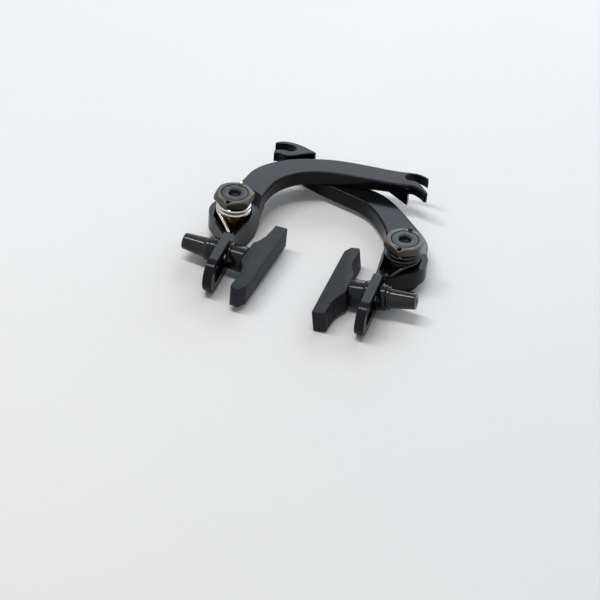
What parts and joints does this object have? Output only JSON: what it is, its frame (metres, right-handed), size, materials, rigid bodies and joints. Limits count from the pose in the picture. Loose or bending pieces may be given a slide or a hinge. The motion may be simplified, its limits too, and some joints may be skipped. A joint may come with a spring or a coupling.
{
  "type": "u brake",
  "caption": "Crossed-arm U-brake caliper for a bicycle: two forged arms on frame pivots with coil return springs, toe-adjustable pads and straddle-cable forks.",
  "frame": {"origin": "midway between the two pivot axes, on the plane of the sleeves' back faces that sit on the frame", "axes": "+Z along the pivots, from the frame towards the bolt heads; +Y from the pads up to the cable forks; +X to the right as seen from the bolt heads"},
  "size_m": [0.1087, 0.1102, 0.0247],
  "materials": {
    "black_forging": "semi-gloss black",
    "bronze": "sintered bronze",
    "plated_steel": "zinc plated",
    "dark_bolt": "blackened steel",
    "phosphated_nut": "phosphated steel, satin",
    "bright_spring": "bright",
    "black_spring": "gloss black",
    "black_washer": "gloss black",
    "black_nut": "gloss black",
    "pad_rubber": "matt moulded"
  },
  "bodies": {
    "frame_side": {"left_pivot_sleeve": "plated_steel", "left_pivot_bolt": "dark_bolt", "left_tension_nut": "phosphated_nut", "left_return_spring": "bright_spring", "right_pivot_sleeve": "plated_steel", "right_pivot_bolt": "dark_bolt", "right_tension_nut": "phosphated_nut", "right_return_spring": "black_spring"},
    "left_arm_body": {"left_arm": "black_forging", "left_pivot_bush": "bronze"},
    "left_pad_seat": {"left_outer_dome_washer": "black_washer", "left_inner_dome_washer": "black_washer"},
    "left_pad_tilt": {"left_outer_cup_washer": "black_washer", "left_inner_cup_washer": "black_washer"},
    "left_pad_holder": {"left_pad_stud": "plated_steel", "left_brake_pad": "pad_rubber", "left_pad_nut": "black_nut"},
    "right_arm_body": {"right_arm": "black_forging", "right_pivot_bush": "bronze"},
    "right_pad_seat": {"right_outer_dome_washer": "black_washer", "right_inner_dome_washer": "black_washer"},
    "right_pad_tilt": {"right_outer_cup_washer": "black_washer", "right_inner_cup_washer": "black_washer"},
    "right_pad_holder": {"right_pad_stud": "plated_steel", "right_brake_pad": "pad_rubber", "right_pad_nut": "black_nut"}
  },
  "joints": [
    {"name": "right_arm_swing", "type": "hinge", "parent": "frame_side", "child": "right_arm_body", "pos_m": [0.04, 0, 0], "axis": [0, 0, -1], "range_deg": [-10, 8], "stiffness_Nm_per_rad": 0.25, "springref_deg": -10, "deforming": ["right_return_spring"]},
    {"name": "left_arm_swing", "type": "hinge", "parent": "frame_side", "child": "left_arm_body", "pos_m": [-0.04, 0, 0], "axis": [0, 0, 1], "range_deg": [-10, 8], "stiffness_Nm_per_rad": 0.25, "springref_deg": -10, "deforming": ["left_return_spring"]},
    {"name": "left_pad_height", "type": "slide", "parent": "left_arm_body", "child": "left_pad_seat", "axis": [-0.0576, 0.9983, 0], "range_m": [-0.0155, 0.0002]},
    {"name": "left_pad_toe", "type": "hinge", "parent": "left_pad_seat", "child": "left_pad_tilt", "pos_m": [-0.03448, -0.02399, 0.008], "axis": [0, 1, 0], "range_deg": [-10.5, 7.5]},
    {"name": "left_pad_turn", "type": "hinge", "parent": "left_pad_tilt", "child": "left_pad_holder", "pos_m": [-0.03448, -0.02399, 0.008], "axis": [-0.9993, 0.0262, 0.0262], "range_deg": [-90, 90]},
    {"name": "right_pad_height", "type": "slide", "parent": "right_arm_body", "child": "right_pad_seat", "axis": [-0.0576, 0.9983, 0], "range_m": [-0.0155, 0.0002]},
    {"name": "right_pad_toe", "type": "hinge", "parent": "right_pad_seat", "child": "right_pad_tilt", "pos_m": [0.03522, -0.02399, 0.008], "axis": [0, 1, 0], "range_deg": [-1, 17]},
    {"name": "right_pad_turn", "type": "hinge", "parent": "right_pad_tilt", "child": "right_pad_holder", "pos_m": [0.03522, -0.02399, 0.008], "axis": [0.9897, 0.0346, 0.1392], "range_deg": [-90, 90]}
  ],
  "couplings": [
    {"joint": "left_arm_swing", "follows": "right_arm_swing", "ratio": 1}
  ]
}
